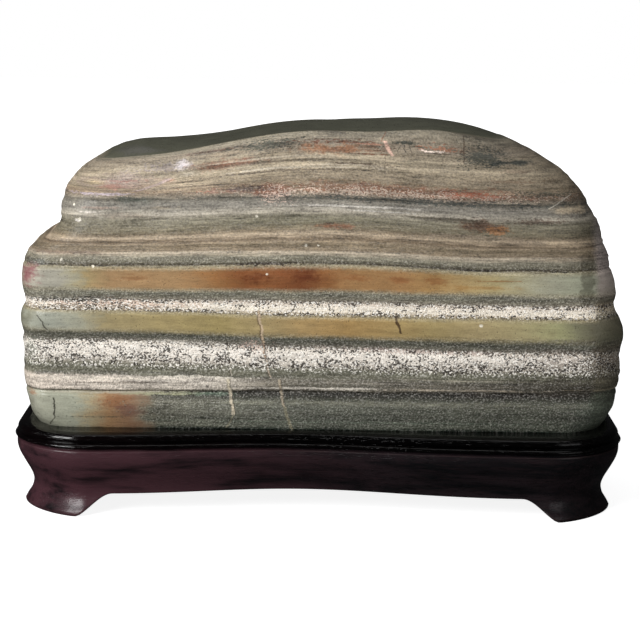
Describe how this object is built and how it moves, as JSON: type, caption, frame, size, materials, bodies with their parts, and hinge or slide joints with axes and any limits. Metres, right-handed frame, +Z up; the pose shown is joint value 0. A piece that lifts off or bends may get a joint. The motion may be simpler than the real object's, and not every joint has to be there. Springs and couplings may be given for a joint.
{
  "type": "scholar's stone on a carved stand",
  "caption": "Loaf-shaped banded viewing stone with ribbed strata and a polished front, resting in a beaded dark hardwood stand with a hollow-curved apron and corner feet",
  "frame": {"origin": "middle of the footprint, on the surface the stand rests on", "axes": "+X along the length, to the right as seen from the polished front; -Y out of the front; +Z up"},
  "size_m": [0.38, 0.1597, 0.2395],
  "materials": {
    "banded_stone": "polished",
    "dark_hardwood": "polished"
  },
  "bodies": {
    "root": {"stone": "banded_stone", "stand": "dark_hardwood"}
  },
  "joints": []
}
